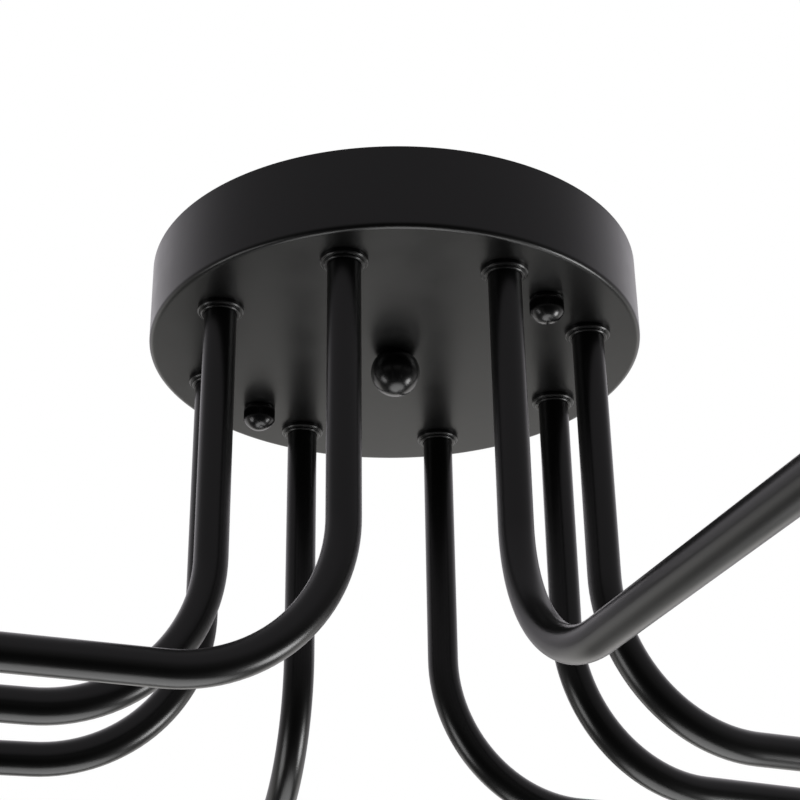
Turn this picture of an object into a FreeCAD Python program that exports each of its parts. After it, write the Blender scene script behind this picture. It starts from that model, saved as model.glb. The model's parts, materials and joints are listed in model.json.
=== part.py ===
"""Semi-flush ceiling light with eight swivelling arms.

The origin is the centre of the junction-box screw pattern in the ceiling plane, +Z points up
into the ceiling and the mounting bar lies along X. Lengths are in millimetres, angles in degrees.
"""
import FreeCAD, Part
import math
import os
import re

import Sketcher

SIZES = {
    "Canopy pan": {
        "canopy_radius": 100.0,
        "canopy_height": 35.0,
        "canopy_wall": 1.2,
        "canopy_edge_radius": 2.0,
        "hole_clearance": 0.25,
    },
    "Mounting bar": {
        "bar_width": 22.0,
        "bar_thickness": 2.0,
        "bar_end_margin": 9.0,
        "box_screw_spacing": 79.4,
        "box_slot_length": 14.2,
        "box_slot_radius": 2.3,
    },
    "Canopy studs, their nuts and the cap nuts": {
        "stud_spacing": 149.0,
        "stud_radius": 2.0,
        "stud_projection": 7.0,
        "stud_tip_chamfer": 0.5,
        "stud_nut_flats": 7.0,
        "stud_nut_thickness": 3.2,
        "thread_clearance": 0.05,
        "cap_nut_radius": 6.7,
        "cap_nut_knurl_height": 5.9,
        "cap_nut_edge_break": 0.4,
        "cap_nut_dome_height": 3.9,
        "turning_float": 0.1,
    },
    "Ball finial and its screw": {
        "ball_radius": 10.0,
        "ball_drop": 7.3,
        "finial_screw_radius": 3.0,
        "finial_screw_projection": 10.0,
        "finial_head_flats": 10.0,
        "finial_head_thickness": 4.0,
        "bore_end_gap": 0.5,
    },
    "Arm bushings and their nuts": {
        "arm_ring_radius": 79.4,
        "first_arm_azimuth": 24.3,
        "bushing_flange_radius": 9.0,
        "bushing_flange_thickness": 2.0,
        "bushing_flange_chamfer": 0.6,
        "bushing_lip_radius": 7.7,
        "bushing_lip_height": 1.0,
        "bushing_lip_chamfer": 0.4,
        "bushing_shank_radius": 7.9,
        "bushing_shank_rise": 9.0,
        "bushing_nut_flats": 21.0,
        "bushing_nut_thickness": 4.0,
        "swivel_clearance": 0.05,
    },
    "Arm tubes": {
        "tube_radius": 6.35,
        "tube_wall": 1.0,
        "tube_drop": 103.7,
        "bend_radius": 60.4,
        "tube_head_radius": 7.6,
        "tube_head_thickness": 1.2,
    },
    "Reach of the arms, from the swivel axis to the end of the tube": {
        "arm_reach": 250.0,
        "middle_arm_shortening": 100.0,
        "side_arm_lengthening": 40.0,
        "near_arm_lengthening": 5.0,
        "far_arm_shortening": 10.0,
    },
    "Azimuth that each arm points to as photographed": {
        "arm_1_azimuth": 238.2,
        "arm_2_azimuth": 236.4,
        "arm_3_azimuth": 231.4,
        "arm_4_azimuth": 143.6,
        "arm_5_azimuth": 59.1,
        "arm_6_azimuth": 63.1,
        "arm_7_azimuth": 61.1,
        "arm_8_azimuth": 327.5,
    },
    "Lamp cups": {
        "cup_radius": 19.0,
        "cup_wall": 1.0,
        "cup_corner_radius": 6.0,
        "cup_overlap": 8.0,
        "cup_recess": 4.0,
        "cup_boss_radius": 8.6,
        "cup_boss_length": 5.0,
        "seat_clearance": 0.3,
    },
    "Lampholders, screw shells and centre contacts": {
        "holder_back_chamfer": 6.0,
        "holder_floor": 9.0,
        "holder_rim": 1.0,
        "shell_radius": 13.2,
        "shell_wall": 0.4,
        "shell_length": 26.0,
        "contact_well_radius": 8.0,
        "contact_well_depth": 3.0,
        "contact_radius": 4.5,
        "contact_thickness": 0.8,
        "contact_tip_radius": 1.5,
        "contact_tip_height": 2.5,
    },
    "Leads and terminal block": {
        "lead_radius": 2.0,
        "lead_rise": 4.9,
        "lead_gap": 0.3,
        "lead_depth": 10.0,
        "lead_turn_radius": 8.0,
        "lead_straight": 12.0,
        "lead_insertion": 5.0,
        "block_length": 44.0,
        "block_width": 20.0,
        "block_height": 15.0,
        "terminal_pitch": 10.0,
        "terminal_screw_hole_radius": 1.6,
        "terminal_screw_hole_depth": 3.0,
    },
}

# Each arm's place on the ring of bushings, counted counter-clockwise from the first azimuth, and
# its reach. The arms themselves are counted clockwise, both seen from above. Those beside each
# other differ in reach, so that their lamp cups stand clear.
ARMS = (
    {"place": 6, "reach": "(arm_reach + near_arm_lengthening)"},
    {"place": 5, "reach": "(arm_reach - middle_arm_shortening)"},
    {"place": 4, "reach": "arm_reach"},
    {"place": 3, "reach": "(arm_reach + side_arm_lengthening)"},
    {"place": 2, "reach": "(arm_reach - far_arm_shortening)"},
    {"place": 1, "reach": "(arm_reach - middle_arm_shortening)"},
    {"place": 0, "reach": "arm_reach"},
    {"place": 7, "reach": "(arm_reach + side_arm_lengthening)"},
)
ARM_COUNT = len(ARMS)
FULL_TURN = 360
STUD_COUNT = 2
HEXAGON_SIDES = 6

# How a sketch numbers its own origin and axes, and the points of an edge
ORIGIN_INDEXES = (-1, 1)
X_AXIS_INDEX, Y_AXIS_INDEX = -1, -2
START_INDEX, END_INDEX, CENTRE_INDEX = 1, 2, 3

# How an arc goes round its centre
COUNTER_CLOCKWISE, CLOCKWISE = 1, -1

# How far a swept lead's or tube's volume may stray from its section times its length, as a share
SWEEP_TOLERANCE_SHARE = 0.01

doc = FreeCAD.newDocument("ceiling_light")
nodes = []


def make_sheet():
    """The spreadsheet of driving dimensions: one titled block of named values per sub-assembly."""
    sheet = doc.addObject("Spreadsheet::Sheet", "Sizes")
    row = 1
    for title, values in SIZES.items():
        sheet.set(f"A{row}", title)
        row += 1
        for name, value in values.items():
            sheet.set(f"A{row}", name)
            sheet.set(f"B{row}", str(value))
            sheet.setAlias(f"B{row}", name)
            row += 1
    doc.recompute()
    return sheet


sheet = make_sheet()


def full(expression):
    """The expression with every sheet name written in full, as other objects need it."""
    return re.sub(r"\b([a-z]\w*)\b(?!\()", r"Sizes.\1", expression)


def value(expression):
    """The present value of an expression in sheet names."""
    return float(sheet.evalExpression(expression))


# Derived heights, lengths and radii, written once in sheet names
PLATE_BOTTOM = "-canopy_height"
PLATE_TOP = "(canopy_wall - canopy_height)"
BUSHING_TOP = f"({PLATE_TOP} + bushing_shank_rise)"
TUBE_TOP = f"({BUSHING_TOP} + turning_float + tube_head_thickness)"
BEND_START = "(-canopy_height - tube_drop)"
RUN_HEIGHT = f"({BEND_START} - bend_radius)"
TUBE_BORE = "(tube_radius - tube_wall)"
CUP_BACK = "(reach - cup_overlap)"
HOLDER_BACK = f"({CUP_BACK} + cup_wall)"
HOLDER_FLOOR = "(reach + holder_floor)"
SHELL_SEAT = f"({HOLDER_FLOOR} + contact_well_depth)"
HOLDER_FRONT = f"({SHELL_SEAT} + shell_length + holder_rim)"
HOLDER_RADIUS = "(cup_radius - cup_wall - seat_clearance)"
LEAD_HOLE = "(lead_radius + seat_clearance)"
BLOCK_BOTTOM = "(-bar_thickness - block_height)"


def new_body(label):
    """A body whose label names its file, and which may hold separate like solids."""
    body = doc.addObject("PartDesign::Body", label)
    body.Label = label
    body.AllowCompound = True
    nodes.append(body)
    return body


def origin_feature(body, role):
    """A base plane or axis of a body, found by its role."""
    return next(item for item in body.Origin.OriginFeatures if item.Role == role)


def new_sketch(body, plane, offset=None):
    """A sketch on a base plane of its body, shifted by expressions in the sketch's own x, y, z."""
    sketch = body.newObject("Sketcher::SketchObject", f"{body.Label}_sketch")
    sketch.AttachmentSupport = [(origin_feature(body, plane), "")]
    sketch.MapMode = "FlatFace"
    for axis, expression in (offset or {}).items():
        sketch.setExpression(f".AttachmentOffset.Base.{axis}", full(expression))
    return sketch


def drive(sketch, constraint, expression):
    """Add a dimension to a sketch and bind it to an expression."""
    index = sketch.addConstraint(constraint)
    sketch.renameConstraint(index, f"size_{index}")
    sketch.setExpression(f"Constraints.size_{index}", full(expression))


def hold(sketch, edge, end, kind, expression):
    """Hold one coordinate of an edge's point: on the axis where it is zero, else by a distance."""
    if expression == "0":
        axis = Y_AXIS_INDEX if kind == "DistanceX" else X_AXIS_INDEX
        sketch.addConstraint(Sketcher.Constraint("PointOnObject", edge, end, axis))
    else:
        constraint = Sketcher.Constraint(kind, *ORIGIN_INDEXES, edge, end, value(expression))
        drive(sketch, constraint, expression)


def fix_point(sketch, edge, end, x, y):
    """Hold an edge's point at x, y."""
    hold(sketch, edge, end, "DistanceX", x)
    hold(sketch, edge, end, "DistanceY", y)


def is_arc(corner):
    """Whether a corner is reached by an arc."""
    return corner[-1] in (COUNTER_CLOCKWISE, CLOCKWISE)


def near_end(corner):
    """Which end of the edge that leads to a corner lies away from it."""
    return END_INDEX if corner[-1] == CLOCKWISE else START_INDEX


def far_end(corner):
    """Which end of the edge that leads to a corner lies at it."""
    return START_INDEX if corner[-1] == CLOCKWISE else END_INDEX


def draw(sketch, corners):
    """Draw a closed outline.

    Each corner is (x, y), reached by a straight edge, or (x, y, centre_x, centre_y, turn), reached
    by an arc that turns about that centre.
    """
    points = [FreeCAD.Vector(value(corner[0]), value(corner[1])) for corner in corners]
    edges = []
    for index, corner in enumerate(corners):
        start, end = points[index - 1], points[index]
        if not is_arc(corner):
            edges.append(sketch.addGeometry(Part.LineSegment(start, end), False))
            continue
        _, _, centre_x, centre_y, turn = corner
        centre = FreeCAD.Vector(value(centre_x), value(centre_y))
        first, last = (end, start) if turn == CLOCKWISE else (start, end)
        angles = [math.atan2(point.y - centre.y, point.x - centre.x) for point in (first, last)]
        circle = Part.Circle(centre, FreeCAD.Vector(0, 0, 1), (start - centre).Length)
        edges.append(sketch.addGeometry(Part.ArcOfCircle(circle, *angles), False))
    for index, corner in enumerate(corners):
        following = (index + 1) % len(corners)
        sketch.addConstraint(Sketcher.Constraint(
            "Coincident", edges[index], far_end(corner), edges[following], near_end(corners[following])))
        fix_point(sketch, edges[index], far_end(corner), corner[0], corner[1])
        if is_arc(corner):
            hold(sketch, edges[index], CENTRE_INDEX, "DistanceX", corner[2])


def draw_circle(sketch, radius, x="0", y="0"):
    """Draw a circle about x, y, each an expression."""
    centre = FreeCAD.Vector(value(x), value(y))
    edge = sketch.addGeometry(Part.Circle(centre, FreeCAD.Vector(0, 0, 1), value(radius)), False)
    fix_point(sketch, edge, CENTRE_INDEX, x, y)
    drive(sketch, Sketcher.Constraint("Radius", edge, value(radius)), radius)


def draw_rectangle(sketch, left, bottom, right, top):
    """Draw an upright rectangle between two corners."""
    draw(sketch, [(left, bottom), (right, bottom), (right, top), (left, top)])


def draw_hexagon(sketch, flats):
    """Draw a hexagon about the sketch's origin from its width across flats."""
    step = FULL_TURN // HEXAGON_SIDES
    radius = f"{flats} / (2 * cos({step // 2}))"
    draw(sketch, [(f"{radius} * cos({step * side})", f"{radius} * sin({step * side})")
                  for side in range(HEXAGON_SIDES)])


def revolve(body, corners, axis="V_Axis", offset=None):
    """Turn an outline about an axis of its sketch on the XZ plane."""
    sketch = new_sketch(body, "XZ_Plane", offset)
    draw(sketch, corners)
    feature = body.newObject("PartDesign::Revolution", f"{body.Label}_turned")
    feature.Profile = sketch
    feature.ReferenceAxis = (sketch, [axis])
    feature.Angle = FULL_TURN
    body.Tip = feature
    return feature


def pad(body, sketch, length, downward=False):
    """Extrude a sketch up or down by a length."""
    feature = body.newObject("PartDesign::Pad", f"{body.Label}_pad")
    feature.Profile = sketch
    feature.setExpression("Length", full(length))
    feature.Reversed = downward
    body.Tip = feature
    return feature


def cut_through(body, sketch):
    """Cut a sketch through the whole body, both ways, and confirm that it took something away."""
    doc.recompute()
    before = body.Shape.Volume
    feature = body.newObject("PartDesign::Pocket", f"{body.Label}_holes")
    feature.Profile = sketch
    feature.Type = "ThroughAll"
    feature.Midplane = True
    body.Tip = feature
    doc.recompute()
    assert body.Shape.Volume < before, f"{feature.Label} cut nothing"
    return feature


def cut_depth(body, sketch, depth, reverse=False):
    """Cut a sketch to a depth and confirm that it took something away."""
    doc.recompute()
    before = body.Shape.Volume
    feature = body.newObject("PartDesign::Pocket", f"{body.Label}_recess")
    feature.Profile = sketch
    feature.setExpression("Length", full(depth))
    feature.Reversed = reverse
    body.Tip = feature
    doc.recompute()
    assert body.Shape.Volume < before, f"{feature.Label} cut nothing"
    return feature


def repeat(body, features, count):
    """Repeat features evenly round the body's Z axis."""
    pattern = body.newObject("PartDesign::PolarPattern", f"{body.Label}_pattern")
    pattern.Originals = features
    pattern.Axis = (origin_feature(body, "Z_Axis"), [""])
    pattern.Angle = FULL_TURN
    pattern.Occurrences = count
    body.Tip = pattern


def turn_to_first_arm(body):
    """Turn a ring of eight so that its first member stands at the first arm's azimuth."""
    body.setExpression("Placement.Rotation.Angle", full("first_arm_azimuth"))


def base_azimuth(place):
    """The azimuth of the swivel axis at a place on the ring, as an expression."""
    return f"(first_arm_azimuth + {FULL_TURN * place / ARM_COUNT})"


def place_on_arm(body, number, place):
    """Stand a body on its arm's swivel axis, turned so that its X axis runs along the arm."""
    body.setExpression("Placement.Base.x", full(f"arm_ring_radius * cos({base_azimuth(place)})"))
    body.setExpression("Placement.Base.y", full(f"arm_ring_radius * sin({base_azimuth(place)})"))
    body.setExpression("Placement.Rotation.Angle", full(f"arm_{number}_azimuth"))


def for_arm(corners, reach):
    """The corners with the word reach read as the reach of one arm."""
    return [tuple(re.sub(r"\breach\b", reach, entry) if isinstance(entry, str) else entry
                  for entry in corner) for corner in corners]


def make_canopy():
    """The spun steel pan: flat plate, rolled lower edge and side wall, pierced for what it holds."""
    body = new_body("canopy")
    corner_r = "canopy_radius - canopy_edge_radius"
    corner_z = "canopy_edge_radius - canopy_height"
    inner_r = "canopy_radius - canopy_wall"
    revolve(body, [
        ("0", PLATE_BOTTOM),
        (corner_r, PLATE_BOTTOM),
        ("canopy_radius", corner_z, corner_r, corner_z, COUNTER_CLOCKWISE),
        ("canopy_radius", "0"),
        (inner_r, "0"),
        (inner_r, corner_z),
        (corner_r, PLATE_TOP, corner_r, corner_z, CLOCKWISE),
        ("0", PLATE_TOP),
    ])
    centre = new_sketch(body, "XY_Plane")
    draw_circle(centre, "finial_screw_radius + hole_clearance")
    cut_through(body, centre)
    studs = new_sketch(body, "XY_Plane")
    for side in ("stud_spacing / 2", "-stud_spacing / 2"):
        draw_circle(studs, "stud_radius + hole_clearance", side)
    cut_through(body, studs)
    arm_hole = new_sketch(body, "XY_Plane")
    draw_circle(arm_hole, "bushing_shank_radius + hole_clearance",
                "arm_ring_radius * cos(first_arm_azimuth)", "arm_ring_radius * sin(first_arm_azimuth)")
    repeat(body, [cut_through(body, arm_hole)], ARM_COUNT)


def make_crossbar():
    """The zinc-plated bar that is screwed to the junction box and carries the canopy's studs."""
    body = new_body("crossbar")
    half_length = "(stud_spacing / 2 + bar_end_margin)"
    strap = new_sketch(body, "XY_Plane")
    draw_rectangle(strap, f"-{half_length}", "-bar_width / 2", half_length, "bar_width / 2")
    pad(body, strap, "bar_thickness", downward=True)
    threads = new_sketch(body, "XY_Plane")
    for side in ("stud_spacing / 2", "-stud_spacing / 2"):
        draw_circle(threads, "stud_radius + thread_clearance", side)
    cut_through(body, threads)
    slots = new_sketch(body, "XY_Plane")
    half_slot = "(box_slot_length / 2 - box_slot_radius)"
    for side in ("box_screw_spacing / 2", "-box_screw_spacing / 2"):
        right, left = f"{side} + {half_slot}", f"{side} - {half_slot}"
        draw(slots, [
            (left, "-box_slot_radius", left, "0", COUNTER_CLOCKWISE),
            (right, "-box_slot_radius"),
            (right, "box_slot_radius", right, "0", COUNTER_CLOCKWISE),
            (left, "box_slot_radius"),
        ])
    cut_through(body, slots)


def make_nut_ring(label, count, ring, flats, thickness, hole, height):
    """A ring of like hexagon nuts on the XY plane at a height, each with its threaded hole."""
    body = new_body(label)
    sketch = new_sketch(body, "XY_Plane", {"x": ring, "z": height})
    draw_hexagon(sketch, flats)
    draw_circle(sketch, hole)
    repeat(body, [pad(body, sketch, thickness)], count)
    return body


def make_studs():
    """Two threaded studs from the bar's top face down through the canopy, and the nuts that lock them."""
    body = new_body("canopy_studs")
    tip = f"{PLATE_BOTTOM} - stud_projection"
    stud = revolve(body, [
        ("0", tip),
        ("stud_radius - stud_tip_chamfer", tip),
        ("stud_radius", f"{tip} + stud_tip_chamfer"),
        ("stud_radius", "0"),
        ("0", "0"),
    ], offset={"x": "stud_spacing / 2"})
    repeat(body, [stud], STUD_COUNT)
    make_nut_ring("stud_nuts", STUD_COUNT, "stud_spacing / 2", "stud_nut_flats", "stud_nut_thickness",
                  "stud_radius + thread_clearance", "-bar_thickness - stud_nut_thickness")


def make_cap_nut(label, side):
    """A knurled cap nut with a domed end, which holds the canopy up on its stud."""
    body = new_body(label)
    top = f"{PLATE_BOTTOM} - turning_float"
    knurl_end = f"{PLATE_BOTTOM} - cap_nut_knurl_height"
    dome_start = f"{knurl_end} - cap_nut_edge_break"
    dome_tip = f"{dome_start} - cap_nut_dome_height"
    dome_edge = "(cap_nut_radius - cap_nut_edge_break)"
    dome_radius = f"({dome_edge}^2 + cap_nut_dome_height^2) / (2 * cap_nut_dome_height)"
    bore_end = f"{PLATE_BOTTOM} - stud_projection - bore_end_gap"
    revolve(body, [
        ("stud_radius + thread_clearance", top),
        ("stud_radius + thread_clearance", bore_end),
        ("0", bore_end),
        ("0", dome_tip),
        (dome_edge, dome_start, "0", f"{dome_tip} + {dome_radius}", COUNTER_CLOCKWISE),
        ("cap_nut_radius", knurl_end),
        ("cap_nut_radius", f"{top} - cap_nut_edge_break"),
        (dome_edge, top),
    ])
    body.setExpression("Placement.Base.x", full(f"{side} * stud_spacing / 2"))


def make_finial():
    """The ball finial under the canopy's centre and the hexagon screw that holds it from inside."""
    screw = new_body("finial_screw")
    head = new_sketch(screw, "XY_Plane", {"z": PLATE_TOP})
    draw_hexagon(head, "finial_head_flats")
    pad(screw, head, "finial_head_thickness")
    shank_end = f"{PLATE_BOTTOM} - finial_screw_projection"
    revolve(screw, [
        ("0", shank_end),
        ("finial_screw_radius", shank_end),
        ("finial_screw_radius", f"{PLATE_TOP} + finial_head_thickness / 2"),
        ("0", f"{PLATE_TOP} + finial_head_thickness / 2"),
    ])
    ball = new_body("ball_finial")
    top = f"{PLATE_BOTTOM} - turning_float"
    centre = f"{PLATE_BOTTOM} - ball_drop"
    seat_radius = "sqrt(ball_radius^2 - (ball_drop - turning_float)^2)"
    bore = "finial_screw_radius + thread_clearance"
    bore_end = f"{shank_end} - bore_end_gap"
    revolve(ball, [
        (bore, top),
        (bore, bore_end),
        ("0", bore_end),
        ("0", f"{centre} - ball_radius"),
        (seat_radius, top, "0", centre, COUNTER_CLOCKWISE),
    ])


def make_bushings():
    """Eight flanged bushings in which the arms swivel, and the thin nuts that clamp them."""
    body = new_body("arm_bushings")
    flange_bottom = f"{PLATE_BOTTOM} - bushing_flange_thickness"
    lip_bottom = f"{flange_bottom} - bushing_lip_height"
    bore = "tube_radius + swivel_clearance"
    bushing = revolve(body, [
        (bore, lip_bottom),
        ("bushing_lip_radius - bushing_lip_chamfer", lip_bottom),
        ("bushing_lip_radius", f"{lip_bottom} + bushing_lip_chamfer"),
        ("bushing_lip_radius", flange_bottom),
        ("bushing_flange_radius - bushing_flange_chamfer", flange_bottom),
        ("bushing_flange_radius", f"{flange_bottom} + bushing_flange_chamfer"),
        ("bushing_flange_radius", PLATE_BOTTOM),
        ("bushing_shank_radius", PLATE_BOTTOM),
        ("bushing_shank_radius", BUSHING_TOP),
        (bore, BUSHING_TOP),
    ], offset={"x": "arm_ring_radius"})
    repeat(body, [bushing], ARM_COUNT)
    turn_to_first_arm(body)
    nuts = make_nut_ring("bushing_nuts", ARM_COUNT, "arm_ring_radius", "bushing_nut_flats",
                         "bushing_nut_thickness", "bushing_shank_radius + thread_clearance", PLATE_TOP)
    turn_to_first_arm(nuts)


def sweep_along_arm(body, radii, top, end):
    """A round section of one or two radii swept down the swivel axis, round the bend and outward."""
    spine = new_sketch(body, "XZ_Plane")
    start, corner, run = value(top), value(BEND_START), value(RUN_HEIGHT)
    bend, finish = value("bend_radius"), value(end)
    points = [FreeCAD.Vector(0, start), FreeCAD.Vector(0, corner), FreeCAD.Vector(bend, run),
              FreeCAD.Vector(finish, run)]
    circle = Part.Circle(FreeCAD.Vector(bend, corner), FreeCAD.Vector(0, 0, 1), bend)
    fall = spine.addGeometry(Part.LineSegment(points[0], points[1]), False)
    arc = spine.addGeometry(Part.ArcOfCircle(circle, math.pi, math.pi * 3 / 2), False)
    outward = spine.addGeometry(Part.LineSegment(points[2], points[3]), False)
    fix_point(spine, fall, START_INDEX, "0", top)
    fix_point(spine, fall, END_INDEX, "0", BEND_START)
    spine.addConstraint(Sketcher.Constraint("Tangent", fall, END_INDEX, arc, START_INDEX))
    spine.addConstraint(Sketcher.Constraint("Tangent", arc, END_INDEX, outward, START_INDEX))
    spine.addConstraint(Sketcher.Constraint("Horizontal", outward))
    drive(spine, Sketcher.Constraint("Radius", arc, bend), "bend_radius")
    hold(spine, outward, END_INDEX, "DistanceX", end)
    section = new_sketch(body, "XY_Plane", {"z": top})
    for radius in radii:
        draw_circle(section, radius)
    pipe = body.newObject("PartDesign::AdditivePipe", f"{body.Label}_pipe")
    pipe.Profile = (section, [""])
    pipe.Spine = (spine, ["Edge1", "Edge2", "Edge3"])
    body.Tip = pipe
    doc.recompute()
    squares = [value(radius) ** 2 for radius in radii] + [0]
    length = start - corner + bend * math.pi / 2 + finish - bend
    expected = math.pi * (squares[0] - squares[1]) * length
    assert math.isclose(body.Shape.Volume, expected, rel_tol=SWEEP_TOLERANCE_SHARE), f"{body.Label} is wrong"


def make_arm(number, place, reach):
    """One arm: its headed tube, the lead in it, and the cup, lampholder, shell and contact at its end."""
    tube = new_body(f"arm_tube_{number}")
    sweep_along_arm(tube, ("tube_radius", TUBE_BORE), TUBE_TOP, reach)
    head_bottom = f"{TUBE_TOP} - tube_head_thickness"
    revolve(tube, [
        (TUBE_BORE, head_bottom),
        ("tube_head_radius", head_bottom),
        ("tube_head_radius", TUBE_TOP),
        (TUBE_BORE, TUBE_TOP),
    ])
    lead = new_body(f"arm_lead_{number}")
    sweep_along_arm(lead, ("lead_radius",), f"{TUBE_TOP} + lead_rise",
                    f"{reach} + holder_floor - lead_gap")

    on_run = {"y": RUN_HEIGHT}
    turned_parts = {
        "lamp_cup": [
            (f"{CUP_BACK} - cup_boss_length", "tube_radius + seat_clearance"),
            (f"{CUP_BACK} - cup_boss_length", "cup_boss_radius"),
            (CUP_BACK, "cup_boss_radius"),
            (CUP_BACK, "cup_radius - cup_corner_radius"),
            (f"{CUP_BACK} + cup_corner_radius", "cup_radius",
             f"{CUP_BACK} + cup_corner_radius", "cup_radius - cup_corner_radius", CLOCKWISE),
            (f"{HOLDER_FRONT} + cup_recess", "cup_radius"),
            (f"{HOLDER_FRONT} + cup_recess", "cup_radius - cup_wall"),
            (f"{CUP_BACK} + cup_corner_radius", "cup_radius - cup_wall"),
            (HOLDER_BACK, "cup_radius - cup_corner_radius",
             f"{CUP_BACK} + cup_corner_radius", "cup_radius - cup_corner_radius", COUNTER_CLOCKWISE),
            (HOLDER_BACK, "tube_radius + seat_clearance"),
        ],
        "lampholder": [
            (HOLDER_BACK, "tube_radius + seat_clearance"),
            (HOLDER_BACK, f"{HOLDER_RADIUS} - holder_back_chamfer"),
            (f"{HOLDER_BACK} + holder_back_chamfer", HOLDER_RADIUS),
            (HOLDER_FRONT, HOLDER_RADIUS),
            (HOLDER_FRONT, "shell_radius + shell_wall + thread_clearance"),
            (SHELL_SEAT, "shell_radius + shell_wall + thread_clearance"),
            (SHELL_SEAT, "contact_well_radius"),
            (HOLDER_FLOOR, "contact_well_radius"),
            (HOLDER_FLOOR, LEAD_HOLE),
            ("reach", LEAD_HOLE),
            ("reach", "tube_radius + seat_clearance"),
        ],
        "screw_shell": [
            (SHELL_SEAT, "contact_well_radius"),
            (SHELL_SEAT, "shell_radius + shell_wall"),
            (f"{SHELL_SEAT} + shell_length", "shell_radius + shell_wall"),
            (f"{SHELL_SEAT} + shell_length", "shell_radius"),
            (f"{SHELL_SEAT} + shell_wall", "shell_radius"),
            (f"{SHELL_SEAT} + shell_wall", "contact_well_radius"),
        ],
        "centre_contact": [
            (HOLDER_FLOOR, "0"),
            (HOLDER_FLOOR, "contact_radius"),
            (f"{HOLDER_FLOOR} + contact_thickness", "contact_radius"),
            (f"{HOLDER_FLOOR} + contact_tip_height", "contact_tip_radius"),
            (f"{HOLDER_FLOOR} + contact_tip_height", "0"),
        ],
    }
    bodies = [tube, lead]
    for name, corners in turned_parts.items():
        part = new_body(f"{name}_{number}")
        revolve(part, for_arm(corners, reach), axis="H_Axis", offset=on_run)
        bodies.append(part)
    for part in bodies:
        place_on_arm(part, number, place)


def terminal_places():
    """Each canopy lead's place on the ring and its terminal on the block: X position and bar side."""
    per_side = ARM_COUNT // 2
    for place in (arm["place"] for arm in ARMS):
        behind = place < per_side
        step = place if behind else ARM_COUNT - 1 - place
        yield place, f"(terminal_pitch * {(per_side - 1) / 2 - step})", 1 if behind else -1


def make_terminal_block():
    """The moulded block under the bar, with a blind entry for each lead and a screw well over it."""
    body = new_body("terminal_block")
    outline = new_sketch(body, "XY_Plane", {"z": "-bar_thickness"})
    draw_rectangle(outline, "-block_length / 2", "-block_width / 2", "block_length / 2", "block_width / 2")
    pad(body, outline, "block_height", downward=True)
    for side in (1, -1):
        entries = new_sketch(body, "XZ_Plane", {"z": f"{-side} * block_width / 2"})
        for _, x, lead_side in terminal_places():
            if lead_side == side:
                draw_circle(entries, LEAD_HOLE, x, "-lead_depth")
        cut_depth(body, entries, "lead_insertion", reverse=side > 0)
    wells = new_sketch(body, "XY_Plane", {"z": BLOCK_BOTTOM})
    for _, x, side in terminal_places():
        draw_circle(wells, "terminal_screw_hole_radius", x, f"{side} * block_width / 4")
    cut_depth(body, wells, "terminal_screw_hole_depth", reverse=True)


def rounded_path(points, radius):
    """A wire through points in straight runs joined by tangent arcs, and its length."""
    edges = []
    start = points[0]
    for before, corner, after in zip(points, points[1:], points[2:]):
        into = (corner - before).normalize()
        out = (after - corner).normalize()
        half_turn = into.getAngle(out) / 2
        tangent = radius * math.tan(half_turn)
        first, last = corner - into * tangent, corner + out * tangent
        inward = (out - into).normalize()
        middle = corner + inward * (radius / math.cos(half_turn) - radius)
        edges.append(Part.LineSegment(start, first).toShape())
        edges.append(Part.Arc(first, middle, last).toShape())
        start = last
    edges.append(Part.LineSegment(start, points[-1]).toShape())
    wire = Part.Wire(edges)
    return wire, wire.Length


def make_canopy_leads():
    """Eight leads from above the arms' tubes to their entries in the terminal block."""
    solids = []
    ring, radius, height = value("arm_ring_radius"), value("lead_radius"), value("-lead_depth")
    start_z = value(f"{TUBE_TOP} + lead_rise + lead_gap")
    turn_radius = value("lead_turn_radius")
    for place, x, side in terminal_places():
        azimuth = math.radians(value(base_azimuth(place)))
        base_x, base_y = ring * math.cos(azimuth), ring * math.sin(azimuth)
        face = side * value("block_width / 2")
        inside = face - side * value("lead_insertion - lead_gap")
        points = [
            FreeCAD.Vector(base_x, base_y, start_z),
            FreeCAD.Vector(base_x, base_y, height),
            FreeCAD.Vector(value(x), face + side * value("lead_straight"), height),
            FreeCAD.Vector(value(x), inside, height),
        ]
        wire, length = rounded_path(points, turn_radius)
        section = Part.Wire(Part.makeCircle(radius, points[0], FreeCAD.Vector(0, 0, 1)))
        solid = wire.makePipeShell([section], True, False)
        expected = math.pi * radius ** 2 * length
        assert math.isclose(solid.Volume, expected, rel_tol=SWEEP_TOLERANCE_SHARE), "canopy lead is wrong"
        print(f"canopy lead of arm at {math.degrees(azimuth):.1f} degrees: {length:.1f} mm long, "
              f"bends of {turn_radius:.1f} mm radius")
        solids.append(solid)
    leads = doc.addObject("Part::Feature", "canopy_leads")
    leads.Label = "canopy_leads"
    leads.Shape = Part.makeCompound(solids)
    nodes.append(leads)


def check_and_write():
    """Stop on any failed object or bad solid, then write one STEP file per node."""
    doc.recompute()
    for item in doc.Objects:
        assert not {"Invalid", "Error"} & set(item.State), f"{item.Label} failed: {item.State}"
    for node in nodes:
        shape = node.Shape
        assert not shape.isNull() and shape.isValid() and shape.Solids, f"{node.Label} has no good shape"
    os.makedirs("parts", exist_ok=True)
    for node in nodes:
        node.Shape.exportStep(f"parts/{node.Label}.step")
        print(f"{node.Label}: {len(node.Shape.Solids)} solids, {node.Shape.Volume:.1f} mm3")


make_canopy()
make_crossbar()
make_studs()
make_cap_nut("cap_nut_left", -1)
make_cap_nut("cap_nut_right", 1)
make_finial()
make_bushings()
for arm_number, arm_values in enumerate(ARMS, 1):
    make_arm(arm_number, arm_values["place"], arm_values["reach"])
make_terminal_block()
make_canopy_leads()
check_and_write()
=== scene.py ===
"""Semi-flush ceiling light with eight swivelling arms, dressed for its picture.

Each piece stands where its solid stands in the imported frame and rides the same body. Sizes are
written in millimetres and turned to metres where a mesh is made.
"""

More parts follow.
